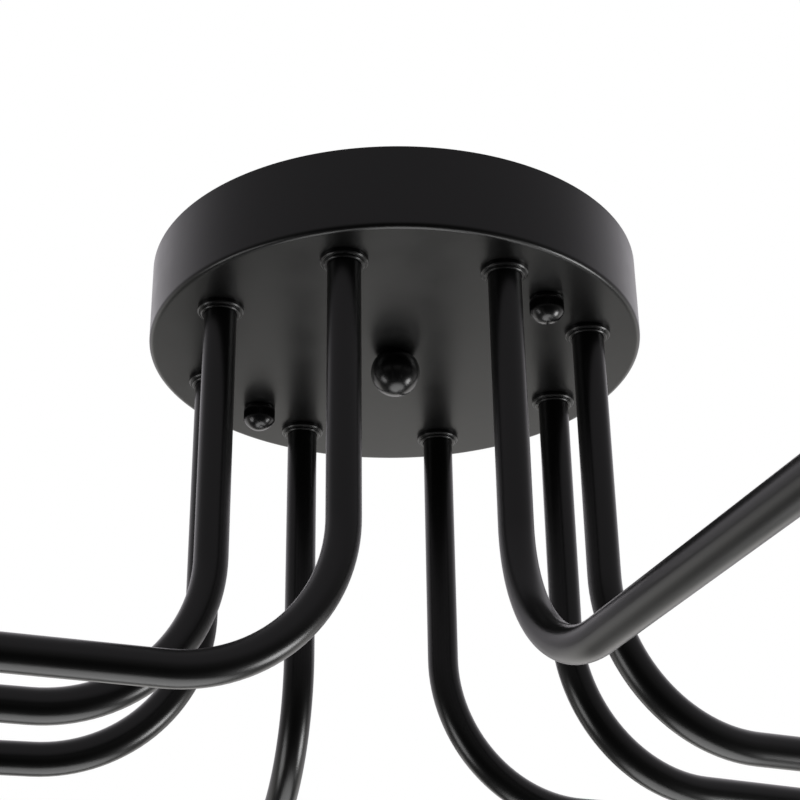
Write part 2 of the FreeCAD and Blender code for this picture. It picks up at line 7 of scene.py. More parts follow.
import itertools
import json
import logging
import math
from collections.abc import Callable, Sequence
from dataclasses import dataclass, field
from enum import Enum
from functools import partial

import bmesh
import bpy
from mathutils import Matrix, Vector


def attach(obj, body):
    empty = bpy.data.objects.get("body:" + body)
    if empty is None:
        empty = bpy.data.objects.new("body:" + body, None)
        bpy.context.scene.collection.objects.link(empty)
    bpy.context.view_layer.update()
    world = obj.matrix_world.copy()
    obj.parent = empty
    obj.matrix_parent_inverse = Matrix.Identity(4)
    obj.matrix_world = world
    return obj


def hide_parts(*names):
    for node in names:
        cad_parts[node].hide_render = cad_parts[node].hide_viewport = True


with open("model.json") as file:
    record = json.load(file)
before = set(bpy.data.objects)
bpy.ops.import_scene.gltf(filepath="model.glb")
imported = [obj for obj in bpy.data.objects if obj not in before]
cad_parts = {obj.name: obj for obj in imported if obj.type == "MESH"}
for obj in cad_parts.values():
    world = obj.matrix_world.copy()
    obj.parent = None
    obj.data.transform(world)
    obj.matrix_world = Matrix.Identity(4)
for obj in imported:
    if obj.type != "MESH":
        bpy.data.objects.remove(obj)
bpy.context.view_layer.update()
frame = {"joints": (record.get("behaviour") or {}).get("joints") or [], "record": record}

MM = 0.001
ARM_NUMBERS = range(1, 9)
log = logging.getLogger("ceiling_light")

# Heights that more than one sub-assembly keeps to: the canopy's plate and the bar under the ceiling
PLATE_BOTTOM = -35.0
PLATE_TOP = -33.8
BAR_BOTTOM = -2.0
# Between a nut's bore and its thread, and how far a cutter stands out of what it cuts
NUT_CLEARANCE = 0.05
OVERCUT = 1.0
# Edges sharper than this stay sharp in the shading
SHARP_ANGLE = math.radians(38)
# How many rows of faces follow one turn of a cut thread
THREAD_ROWS = 6
# Where nearly all values of a noise lie
NOISE_LOW, NOISE_HIGH = 0.3, 0.7

Outline = list[tuple[float, float]]
Points = Sequence[Sequence[float]]
Mesh = bpy.types.Mesh
Tree = bpy.types.NodeTree
Node = bpy.types.Node
Socket = bpy.types.NodeSocket
Given = dict[str, Socket]
Ramp = Colour = tuple[float, float, float, float]


def add_node(tree: Tree, kind: str, inputs: dict | None = None, **settings: object) -> Node:
    """Add a node to a tree, set it up and link it.

    Args:
        tree: The tree that gets the node.
        kind: The node's class name.
        inputs: For an input, by name or place, its value, the output that feeds it, or the node
            whose first output does.
        settings: The node's own properties.

    Returns:
        The new node.
    """
    node = tree.nodes.new(kind)
    for name, value in settings.items():
        setattr(node, name, value)
    for key, value in (inputs or {}).items():
        source = value.outputs[0] if isinstance(value, Node) else value
        if isinstance(source, Socket):
            tree.links.new(source, node.inputs[key])
        else:
            node.inputs[key].default_value = value
    return node


def joint_place(name: str) -> Vector:
    """Where a joint of the frame stands, in millimetres."""
    return Vector(next(joint["pos_m"] for joint in frame["joints"] if joint["name"] == name)) / MM


def arm_base(number: int) -> Vector:
    """Where an arm's swivel axis meets the plane, in millimetres."""
    return joint_place(f"arm_{number}_swivel").xy


def linear(code: str) -> Colour:
    """Turn an sRGB hex value to a linear colour.

    Args:
        code: Six hex digits after a hash sign.

    Returns:
        Linear red, green and blue, and full alpha.
    """
    shares = [int(code[place:place + 2], 16) / 255 for place in (1, 3, 5)]
    red, green, blue = (share / 12.92 if share <= 0.04045 else ((share + 0.055) / 1.055) ** 2.4
                        for share in shares)
    return red, green, blue, 1.0


@dataclass(frozen=True)
class Finish:
    """A surface finish, for one slot of the record.

    Roughness comes with its spread, coat with its roughness, and mottling with its width. Relief
    and grit are bumps, given by width and height. All are noise on object coordinates, in
    millimetres.
    """

    title: str
    slot: str
    colour: str
    roughness: tuple[float, float]
    mottle: tuple[str, float]
    relief: tuple[float, float]
    grit: tuple[float, float] = (1.0, 0.0)
    metallic: float = 0.0
    coat: tuple[float, float] = (0.0, 0.1)

    def material(self) -> bpy.types.Material:
        """Build the finish's material, once.

        Returns:
            The material under the finish's title.
        """
        made = bpy.data.materials.get(self.title)
        if made:
            return made
        made = bpy.data.materials.new(self.title)
        made.use_nodes = True
        tree = made.node_tree
        tree.nodes.clear()
        place = add_node(tree, "ShaderNodeTexCoord").outputs["Object"]
        patches, width = self.mottle
        cloud = add_node(tree, "ShaderNodeTexNoise", {
            "Vector": place, "Scale": 1 / (width * MM), "Detail": 3.0})
        middle, spread = self.roughness
        rough = add_node(tree, "ShaderNodeMapRange", {
            "Value": cloud, "From Min": NOISE_LOW, "From Max": NOISE_HIGH,
            "To Min": middle - spread, "To Max": middle + spread})
        colour = add_node(tree, "ShaderNodeMix", {
            "Factor": cloud, 6: linear(self.colour), 7: linear(patches)}, data_type="RGBA")
        shader = add_node(tree, "ShaderNodeBsdfPrincipled", {
            "Base Color": colour.outputs[2], "Roughness": rough, "Metallic": self.metallic,
            "Coat Weight": self.coat[0], "Coat Roughness": self.coat[1],
            "Normal": self.bumped(tree, place)})
        add_node(tree, "ShaderNodeOutputMaterial", {"Surface": shader})
        made.diffuse_color = linear(self.colour)
        return made

    def bumped(self, tree: Tree, place: Socket) -> Node:
        """Chain the finish's bumps, broad one first.

        Args:
            tree: The material's tree.
            place: Object coordinates.

        Returns:
            The last bump.
        """
        bump = None
        for width, height in (self.relief, self.grit):
            if height:
                noise = add_node(tree, "ShaderNodeTexNoise", {
                    "Vector": place, "Scale": 1 / (width * MM), "Detail": 0.0})
                under = {"Normal": bump} if bump else {}
                bump = add_node(tree, "ShaderNodeBump", {
                    "Height": noise, "Distance": height * MM, "Strength": 1.0} | under)
        return bump


# Sprayed and baked powder coat, satin: a faint orange peel that softens every reflection
POWDER_COAT = Finish("satin black powder coat", "black_paint", "#090909", roughness=(0.30, 0.02),
                     mottle=("#0b0b0b", 14.0), relief=(2.4, 0.006))
# The same powder on drawn tube, where it flows out smoother: narrower, brighter edge reflections
TUBE_COAT = Finish("satin black powder coat on tube", "black_paint", "#080808",
                   roughness=(0.286, 0.009), mottle=("#0a0a0a", 14.0), relief=(2.4, 0.004))
# Dipped black lacquer on turned brass: smooth and glossy, with small sharp highlights
LACQUER = Finish("gloss black lacquer", "black_lacquer", "#0b0b0c", roughness=(0.25, 0.02),
                 mottle=("#0d0d0d", 8.0), relief=(2.5, 0.003))
# Bright zinc electroplate on steel: a cool metal with cloudy passivation and fine pits
ZINC = Finish("bright zinc plate", "zinc_plate", "#b4b8bd", roughness=(0.36, 0.08), metallic=1.0,
              mottle=("#c3c1b8", 4.0), relief=(0.8, 0.004), grit=(0.2, 0.002))
# Glazed electrical porcelain: white body under clear glaze, slightly wavy
PORCELAIN = Finish("glazed white porcelain", "glazed_porcelain", "#e9e6dc", roughness=(0.14, 0.03),
                   coat=(0.6, 0.04), mottle=("#e3dfd2", 6.0), relief=(3.0, 0.010))
# Rolled aluminium strip: soft metal with faint cloudy wear from the rollers
SHELL = Finish("rolled aluminium", "shell_metal", "#cfcdc8", roughness=(0.21, 0.05), metallic=1.0,
               mottle=("#bcb9b2", 3.0), relief=(0.5, 0.002))
# Turned brass, bright, slightly tarnished in patches
BRASS = Finish("turned brass", "contact_brass", "#d9b56c", roughness=(0.20, 0.06), metallic=1.0,
               mottle=("#bf9650", 2.0), relief=(0.4, 0.001))
# Extruded PVC jacket: dull black plastic with a slightly uneven skin
JACKET = Finish("black PVC jacket", "lead_jacket", "#1a1a1b", roughness=(0.42, 0.04),
                mottle=("#202021", 5.0), relief=(2.0, 0.010))
# Moulded polyamide: ivory, matt from the tool's spark texture
POLYAMIDE = Finish("ivory moulded polyamide", "block_plastic", "#dcd8ca", roughness=(0.48, 0.04),
                   mottle=("#d6d1c1", 7.0), relief=(0.5, 0.006))


class WaveForm(Enum):
    """The section of a thread or knurl: rolled round or cut to a point."""

    ROLLED = "SMOOTHSTEP"
    CUT = "LINEAR"


class Recipe:
    """A geometry node tree with named inputs, which ends in plain geometry and a material."""

    def __init__(self, title: str, sizes: dict[str, float],
                 shape: Callable[[Tree, Given], Node]) -> None:
        """Build the tree.

        Args:
            title: The tree's name.
            sizes: The default of each named input, of the type that the input takes.
            shape: Adds the nodes between the inputs and the finished geometry.
        """
        self.sizes = sizes
        self.tree = bpy.data.node_groups.new(title, "GeometryNodeTree")
        face = self.tree.interface
        face.new_socket("Geometry", in_out="OUTPUT", socket_type="NodeSocketGeometry")
        face.new_socket("Geometry", in_out="INPUT", socket_type="NodeSocketGeometry")
        of_type = {bool: "NodeSocketBool", int: "NodeSocketInt", float: "NodeSocketFloat"}
        kinds = {name: of_type[type(size)] for name, size in sizes.items()}
        kinds["Finish"] = "NodeSocketMaterial"
        self.identifiers = {name: face.new_socket(name, in_out="INPUT", socket_type=kind).identifier
                            for name, kind in kinds.items()}
        given = add_node(self.tree, "NodeGroupInput").outputs
        plain = add_node(self.tree, "GeometryNodeRealizeInstances",
                         {"Geometry": shape(self.tree, given)})
        dressed = add_node(self.tree, "GeometryNodeSetMaterial", {
            "Geometry": plain, "Material": given["Finish"]})
        add_node(self.tree, "NodeGroupOutput", {"Geometry": dressed})


def shape_wave(form: WaveForm, tree: Tree, given: Given) -> Node:
    """Add nodes that draw points in towards Z by a wave round and along it.

    Args:
        form: The section of the wave.
        tree: The recipe's tree.
        given: The recipe's inputs.

    Returns:
        The last node.
    """
    x, y, z = add_node(tree, "ShaderNodeSeparateXYZ", {
        0: add_node(tree, "GeometryNodeInputPosition")}).outputs
    flat = add_node(tree, "ShaderNodeCombineXYZ", {"X": x, "Y": y})
    swing = add_node(tree, "ShaderNodeMath", {0: y, 1: x}, operation="ARCTAN2")
    for operation, place, others in (
            ("DIVIDE", 0, {1: math.tau}), ("MULTIPLY", 0, {1: given["Waves Round"]}),
            ("MULTIPLY_ADD", 2, {0: z, 1: given["Waves per Metre"]}), ("PINGPONG", 0, {1: 0.5})):
        swing = add_node(tree, "ShaderNodeMath", {place: swing} | others, operation=operation)
    amount = add_node(tree, "ShaderNodeMapRange", {
        "Value": swing, "From Max": 0.5, "To Max": given["Depth"]}, interpolation_type=form.value)
    radius = add_node(tree, "ShaderNodeVectorMath", {0: flat}, operation="LENGTH").outputs["Value"]
    for value, start, way in ((radius, "Rim", 1.0), (z, "Bottom", 1.0), (z, "Top", -1.0)):
        away = add_node(tree, "ShaderNodeMath", {0: given["Fade"], 1: way, 2: given[start]},
                        operation="MULTIPLY_ADD")
        fade = add_node(tree, "ShaderNodeMapRange", {
            "Value": value, "From Min": given[start], "From Max": away})
        amount = add_node(tree, "ShaderNodeMath", {0: amount, 1: fade}, operation="MULTIPLY")
    inward = add_node(tree, "ShaderNodeMath", {0: amount, 1: -1.0}, operation="MULTIPLY")
    outward = add_node(tree, "ShaderNodeVectorMath", {0: flat}, operation="NORMALIZE")
    offset = add_node(tree, "ShaderNodeVectorMath", {0: outward, "Scale": inward},
                      operation="SCALE")
    return add_node(tree, "GeometryNodeSetPosition", {
        "Geometry": given["Geometry"], "Offset": offset})


def shape_ring(tree: Tree, given: Given) -> Node:
    """Add nodes that repeat the geometry on a ring, turned with it.

    Args:
        tree: The recipe's tree.
        given: The recipe's inputs.

    Returns:
        The last node.
    """
    ring = add_node(tree, "GeometryNodeMeshCircle", {
        "Vertices": given["Count"], "Radius": given["Ring Radius"]})
    turn = add_node(tree, "GeometryNodeInputIndex")
    for operation, other in (("DIVIDE", given["Count"]), ("MULTIPLY", math.tau)):
        turn = add_node(tree, "ShaderNodeMath", {0: turn, 1: other}, operation=operation)
    own, common = (add_node(tree, "ShaderNodeCombineXYZ", {"Z": angle})
                   for angle in (turn, given["First Angle"]))
    copies = add_node(tree, "GeometryNodeInstanceOnPoints", {
        "Points": ring, "Instance": given["Geometry"], "Rotation": own})
    return add_node(tree, "GeometryNodeTransform", {"Geometry": copies, "Rotation": common})


def shape_grid(tree: Tree, given: Given) -> Node:
    """Add nodes that repeat the geometry in rows and columns about the origin."""
    grid = add_node(tree, "GeometryNodeMeshGrid", {
        "Size X": given["Width"], "Size Y": given["Depth"],
        "Vertices X": given["Columns"], "Vertices Y": given["Rows"]})
    return add_node(tree, "GeometryNodeInstanceOnPoints", {
        "Points": grid, "Instance": given["Geometry"]})


def shape_tube(tree: Tree, given: Given) -> Node:
    """Add nodes that sweep a circle along the geometry's edges, with bends for corners.

    Args:
        tree: The recipe's tree.
        given: The recipe's inputs.

    Returns:
        The last node.
    """
    runs = add_node(tree, "GeometryNodeMeshToCurve", {"Mesh": given["Geometry"]})
    path = add_node(tree, "GeometryNodeFilletCurve", {
        "Curve": runs, "Count": given["Bend Steps"], "Radius": given["Bend Radius"]}, mode="POLY")
    circle = add_node(tree, "GeometryNodeCurvePrimitiveCircle", {
        "Resolution": given["Sides"], "Radius": given["Radius"]})
    return add_node(tree, "GeometryNodeCurveToMesh", {
        "Curve": path, "Profile Curve": circle, "Fill Caps": given["Capped"]})


WAVE_SIZES = {"Depth": 0.0, "Waves Round": 1, "Waves per Metre": 0.0, "Rim": 0.0, "Fade": 0.1 * MM,
              "Bottom": -1.0, "Top": 1.0}
ROLLED_WAVE = Recipe("rolled wave", WAVE_SIZES, partial(shape_wave, WaveForm.ROLLED))
CUT_WAVE = Recipe("cut wave", WAVE_SIZES, partial(shape_wave, WaveForm.CUT))
RING = Recipe("ring of copies", {"Count": 8, "Ring Radius": 0.08, "First Angle": 0.0}, shape_ring)
GRID = Recipe("grid of copies", {"Columns": 2, "Rows": 1, "Width": 0.1, "Depth": 0.0}, shape_grid)
TUBE = Recipe("bent tube", {"Radius": 0.006, "Bend Radius": 0.06, "Bend Steps": 24, "Sides": 40,
                            "Capped": True}, shape_tube)


def wave(depth: float, rim: float, fade: float, pitch: float = math.inf, **limits: float) -> dict:
    """Write a wave's inputs.

    Args:
        depth: How deep it cuts.
        rim: The radius from which it fades in.
        fade: How far it takes to fade in.
        pitch: Its pitch along the axis, endless where it only runs round.
        limits: The heights between which it cuts, Bottom and Top.

    Returns:
        The inputs in metres.
    """
    lengths = {"Depth": depth, "Rim": rim, "Fade": fade} | limits
    return {name: length * MM for name, length in lengths.items()} | {
        "Waves per Metre": 1 / (pitch * MM)}


def new_mesh(points: Points, faces: Sequence[Sequence[int]] = (),
             edges: Sequence[Sequence[int]] = ()) -> Mesh:
    """Make a mesh whose closed shells face outwards.

    Args:
        points: Places in millimetres.
        faces: The points of each face.
        edges: The points of each loose edge.

    Returns:
        The mesh in metres.
    """
    mesh = bpy.data.meshes.new("shape")
    mesh.from_pydata([Vector(point) * MM for point in points], edges, faces)
    shell = bmesh.new()
    shell.from_mesh(mesh)
    bmesh.ops.recalc_face_normals(shell, faces=shell.faces)
    shell.to_mesh(mesh)
    shell.free()
    return mesh


def moved(mesh: Mesh, x: float, y: float, z: float, turn: Matrix = Matrix()) -> Mesh:
    """Turn a mesh about the origin, then shift it by millimetres."""
    mesh.transform(Matrix.Translation((x * MM, y * MM, z * MM)) @ turn)
    return mesh


def box(low: Sequence[float], high: Sequence[float]) -> Mesh:
    """An upright box between two opposite corners, as a cutter."""
    return new_mesh(list(itertools.product(*zip(low, high))), [
        (0, 1, 3, 2), (4, 6, 7, 5), (0, 4, 5, 1), (2, 3, 7, 6), (0, 2, 6, 4), (1, 5, 7, 3)])


def arc(x: float, y: float, radius: float, first: float, last: float, steps: int) -> Outline:
    """Points round a centre, between two angles that are counted from straight down."""
    angles = [first + (last - first) * step / steps for step in range(steps + 1)]
    return [(x + radius * math.sin(angle), y - radius * math.cos(angle)) for angle in angles]


def rounded(corners: Points, steps: int = 6) -> Outline:
    """Round an outline's corners.

    Args:
        corners: Radius and height of each corner, and its fillet's radius if it has one.
        steps: How many faces make a fillet.

    Returns:
        The outline's points, with one more beside each fillet, which keeps a flat face flat.
    """
    points = []
    for index, (radius, height, *fillet) in enumerate(corners):
        here = Vector((radius, height))
        if not fillet:
            points.append(tuple(here))
            continue
        back = Vector(corners[index - 1][:2]) - here
        onward = Vector(corners[(index + 1) % len(corners)][:2]) - here
        half = back.angle(onward) / 2
        run = fillet[0] / math.tan(half)
        ways = [way.normalized() for way in (back, onward)]
        centre = here + (ways[0] + ways[1]).normalized() * (fillet[0] / math.sin(half))
        spoke, last = (here + way * run - centre for way in ways)
        sweep = math.copysign(math.pi - 2 * half, spoke.x * last.y - spoke.y * last.x)
        margin = fillet[0] * 0.25
        if back.length > run + 2 * margin:
            points.append(tuple(here + ways[0] * (run + margin)))
        points += [tuple(centre + Matrix.Rotation(sweep * step / steps, 2) @ spoke)
                   for step in range(steps + 1)]
        if onward.length > run + 2 * margin:
            points.append(tuple(here + ways[1] * (run + margin)))
    return points


def turned(corners: Points, sides: int, closed: bool = False, steps: int = 6,
           run: float = math.inf) -> Mesh:
    """Turn an outline about Z.

    Args:
        corners: Radius and height of each corner, and its fillet's radius if it has one. A radius
            of zero makes a pole.
        sides: How many faces go round.
        closed: Whether the last corner runs on to the first, as round a bore.
        steps: How many faces make a fillet.
        run: The longest run that isn't divided.

    Returns:
        The turned mesh.
    """
    outline = rounded(corners, steps)
    points = []
    for start, end in zip(outline, outline[1:]):
        parts = max(1, math.ceil(math.dist(start, end) / run))
        points += [Vector(start).lerp(Vector(end), part / parts) for part in range(parts)]
    places, rings = [], []
    for radius, height in points + outline[-1:]:
        count = sides if radius > 0 else 1
        rings.append([len(places) + side % count for side in range(sides + 1)])
        for angle in (math.tau * side / sides for side in range(count)):
            places.append((radius * math.cos(angle), radius * math.sin(angle), height))
    following = rings[1:] + rings[:1] if closed else rings[1:]
    faces = []
    for lower, upper in zip(rings, following):
        for side in range(sides):
            loop = (lower[side], lower[side + 1], upper[side + 1], upper[side])
            face = [corner for place, corner in enumerate(loop) if corner != loop[place - 1]]
            if len(set(face)) > 2:
                faces.append(face)
    return new_mesh(places, faces)


def hexagon(flats: float, bottom: float, height: float, bore: float, sides: int = 72) -> Mesh:
    """A hexagon nut, or a bolt's head where the bore is zero, chamfered on both faces.

    Args:
        flats: The width across flats.
        bottom: The lower face's height.
        height: The thickness.
        bore: The hole's radius.
        sides: How many faces go round.

    Returns:
        The mesh, with a corner on the X axis.
    """
    crown_share, chamfer_angle, least_bore = 0.97, math.radians(30), 0.01
    crown = flats / 2 * crown_share
    angles = [math.tau * side / sides for side in range(sides)]
    rims = [flats / 2 / math.cos(angle % (math.pi / 3) - math.pi / 6) for angle in angles]
    drops = [(rim - crown) * math.tan(chamfer_angle) for rim in rims]
    flat = [0.0] * sides
    under = [([bore or least_bore] * sides, flat), ([crown] * sides, flat), (rims, drops)]
    over = [(radii, [height - level for level in levels]) for radii, levels in reversed(under)]
    places = [(radius * math.cos(angle), radius * math.sin(angle), bottom + level)
              for radii, levels in under + over
              for angle, radius, level in zip(angles, radii, levels)]
    rings = [range(start, start + sides) for start in range(0, len(places), sides)]
    pairs = list(zip(rings, rings[1:] + rings[:1]))
    faces = [(lower[side - 1], lower[side], upper[side], upper[side - 1])
             for lower, upper in (pairs if bore else pairs[:-1]) for side in range(sides)]
    if not bore:
        faces += [tuple(rings[0]), tuple(rings[-1])]
    return new_mesh(places, faces)


def placed(name: str, data: bpy.types.ID) -> bpy.types.Object:
    """Put a new object in the scene."""
    bpy.context.scene.collection.objects.link(item := bpy.data.objects.new(name, data))
    return item


def cooked(carrier: bpy.types.Object) -> Mesh:
    """Turn an object with its modifiers to a plain mesh and remove the object.

    Args:
        carrier: The object, in the scene.

    Returns:
        The evaluated mesh.
    """
    graph = bpy.context.evaluated_depsgraph_get()
    mesh = bpy.data.meshes.new_from_object(carrier.evaluated_get(graph), depsgraph=graph)
    bpy.data.objects.remove(carrier)
    return mesh


def welded(meshes: Sequence[Mesh]) -> Mesh:
    """Join meshes, merge their doubled points and turn their closed shells outwards.

    Args:
        meshes: The meshes, which are used up.

    Returns:
        The joined mesh.
    """
    near = 0.001 * MM
    shell = bmesh.new()
    for mesh in meshes:
        shell.from_mesh(mesh)
        bpy.data.meshes.remove(mesh)
    bmesh.ops.remove_doubles(shell, verts=shell.verts, dist=near)
    bmesh.ops.dissolve_degenerate(shell, edges=shell.edges, dist=near / 2)
    bmesh.ops.recalc_face_normals(shell, faces=shell.faces)
    joined = bpy.data.meshes.new("shape")
    shell.to_mesh(joined)
    shell.free()
    return joined


def plate(length: float, width: float, corner: float, holes: Sequence[Outline], bottom: float,
          top: float, edge: float) -> Mesh:
    """A flat rectangular plate with holes, rounded corners and broken edges.

    Args:
        length: The plate's size along X.
        width: Its size along Y.
        corner: Its corners' radius.
        holes: The corners of each hole.
        bottom: The lower face's height.
        top: The upper face's height.
        edge: The radius of the broken edges.

    Returns:
        The plate's mesh.
    """
    outline = rounded([(x * length / 2, y * width / 2, corner)
                       for x, y in ((-1, -1), (1, -1), (1, 1), (-1, 1))], steps=5)
    flat = bpy.data.curves.new("plate", "CURVE")
    flat.dimensions, flat.fill_mode = "2D", "BOTH"
    flat.extrude = ((top - bottom) / 2 - edge) * MM
    flat.bevel_depth, flat.bevel_resolution, flat.offset = edge * MM, 2, -edge * MM
    for corners in (outline, *holes):
        spline = flat.splines.new("POLY")
        spline.points.add(len(corners) - 1)
        for point, (x, y) in zip(spline.points, corners):
            point.co = (x * MM, y * MM, 0, 1)
        spline.use_cyclic_u = True
    return welded([moved(cooked(placed("plate", flat)), 0, 0, (bottom + top) / 2)])


def cut(mesh: Mesh, cutters: Sequence[Mesh]) -> Mesh:
    """Take closed meshes away from another.

    Args:
        mesh: The mesh that is cut.
        cutters: The meshes that are taken away, which don't meet each other.

    Returns:
        The cut mesh.
    """
    tool = placed("tool", welded(cutters))
    carrier = placed("carrier", mesh)
    modifier = carrier.modifiers.new("cut", "BOOLEAN")
    modifier.operation, modifier.solver, modifier.object = "DIFFERENCE", "EXACT", tool
    result = cooked(carrier)
    bpy.data.objects.remove(tool)
    return welded([result])


def rod(radius: float, bottom: float, top: float, x: float = 0.0, y: float = 0.0,
        sides: int = 48) -> Mesh:
    """A plain upright cylinder about (x, y), as a cutter."""
    return moved(turned([(0, bottom), (radius, bottom), (radius, top), (0, top)], sides), x, y, 0)


def repeated(mesh: Mesh, finish: Finish, *steps: tuple[Recipe, dict]) -> Mesh:
    """Run recipes on a mesh, one after the other.

    Args:
        mesh: The mesh that the first recipe gets.
        finish: The finish that the recipes set.
        steps: Each recipe and the inputs that differ from its defaults.

    Returns:
        The resulting plain mesh.
    """
    carrier = placed("carrier", mesh)
    for recipe, sizes in steps:
        modifier = carrier.modifiers.new(recipe.tree.name, "NODES")
        modifier.node_group = recipe.tree
        for name, value in (recipe.sizes | sizes | {"Finish": finish.material()}).items():
            modifier[recipe.identifiers[name]] = value
    return cooked(carrier)


def show(name: str, mesh: Mesh, finish: Finish, body: str, *nodes: str) -> None:
    """Put a finished mesh in the scene as a piece.

    Args:
        name: The piece's name.
        mesh: Its mesh, in place.
        finish: Its finish.
        body: The body that it rides.
        nodes: The CAD nodes that it stands for.
    """
    mesh.materials.clear()
    mesh.materials.append(finish.material())
    mesh.name = name
    mesh.shade_smooth()
    mesh.set_sharp_from_angle(angle=SHARP_ANGLE)
    piece = placed(name, mesh)
    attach(piece, body)
    if nodes:
        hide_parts(*nodes)
    log.info("%s: %d faces, %s, rides %s", name, len(mesh.polygons), finish.title, body)


@dataclass
class Canopy:
    """The spun pan, and the bar, studs and nuts that hold it."""

    radius: float = 100.0
    wall: float = 1.2
    edge: float = 2.0
    sides: int = 288
    hole_clearance: float = 0.25
    stud_radius: float = 2.0
    stud_end: float = -42.0
    stud_chamfer: float = 0.5
    thread_pitch: float = 0.7
    thread_depth: float = 0.35
    bar_margin: float = 9.0
    bar_width: float = 22.0
    bar_corner: float = 1.5
    bar_edge: float = 0.3
    tapped_radius: float = 2.05
    slot_spacing: float = 79.4
    slot_length: float = 14.2
    slot_radius: float = 2.3
    nut_flats: float = 7.0
    nut_height: float = 3.2

    @property
    def stud_spacing(self) -> float:
        """How far the studs stand apart."""
        return joint_place("cap_nut_right_turn").x * 2

    def build(self, ring: "Bushings", ball: "Finial") -> None:
        """Make and dress every piece of the canopy.

        Args:
            ring: The bushings, for the holes that they pass through.
            ball: The finial, for its screw's hole.
        """
        self.build_pan(ring, ball)
        self.build_bar()
        self.build_studs()

    def build_pan(self, ring: "Bushings", ball: "Finial") -> None:
        """Spin the pan and pierce its plate.

        Args:
            ring: The bushings, for their holes.
            ball: The finial, for its screw's hole.
        """
        inner = self.radius - self.wall
        pan = turned([
            (0, PLATE_BOTTOM), (self.radius, PLATE_BOTTOM, self.edge), (self.radius, 0, 0.25),
            (inner, 0, 0.25), (inner, PLATE_TOP, self.edge - self.wall), (0, PLATE_TOP)],
            self.sides, steps=8)
        bores = [(ball.screw_radius, 0, 0, 48)]
        bores += [(self.stud_radius, side * self.stud_spacing / 2, 0, 48) for side in (-1, 1)]
        bores += [(ring.shank_radius, x, y, 72) for x, y in ring.places()]
        holes = [rod(radius + self.hole_clearance, PLATE_BOTTOM - OVERCUT, PLATE_TOP + OVERCUT,
                     x, y, sides) for radius, x, y, sides in bores]
        show("spun_pan", cut(pan, holes), POWDER_COAT, "root", "canopy")

    def build_bar(self) -> None:
        """Punch the mounting bar out of strip, with its two slots and tapped holes."""
        straight = self.slot_length / 2 - self.slot_radius
        quarter, half = math.pi / 2, math.pi
        holes = []
        for side in (-1, 1):
            slot = [point for end, first in ((1, 0), (-1, half)) for point in arc(
                side * self.slot_spacing / 2 + end * straight, 0, self.slot_radius,
                first, first + half, steps=12)]
            hole = arc(side * self.stud_spacing / 2, 0, self.tapped_radius,
                       quarter, quarter + math.tau, steps=32)
            holes += [slot, hole[:-1]]
        bar = plate(self.stud_spacing + 2 * self.bar_margin, self.bar_width, self.bar_corner, holes,
                    BAR_BOTTOM, 0, self.bar_edge)
        show("mounting_bar", bar, ZINC, "root", "crossbar")

    def build_studs(self) -> None:
        """Thread the two studs and lock them under the bar with nuts."""
        radius, end, chamfer = self.stud_radius, self.stud_end, self.stud_chamfer
        stud = turned([
            (0, end), (radius - chamfer, end), (radius, end + chamfer), (radius, -chamfer),
            (radius - chamfer, 0), (0, 0)], sides=20, run=self.thread_pitch / THREAD_ROWS)
        pair = {"Width": self.stud_spacing * MM}
        thread = wave(self.thread_depth, radius - chamfer, chamfer, self.thread_pitch)
        studs = repeated(stud, ZINC, (CUT_WAVE, thread), (GRID, pair))
        show("threaded_studs", studs, ZINC, "root", "canopy_studs")
        nut = hexagon(self.nut_flats, BAR_BOTTOM - self.nut_height, self.nut_height,
                      radius + NUT_CLEARANCE)
        show("stud_lock_nuts", repeated(nut, ZINC, (GRID, pair)), ZINC, "root", "stud_nuts")


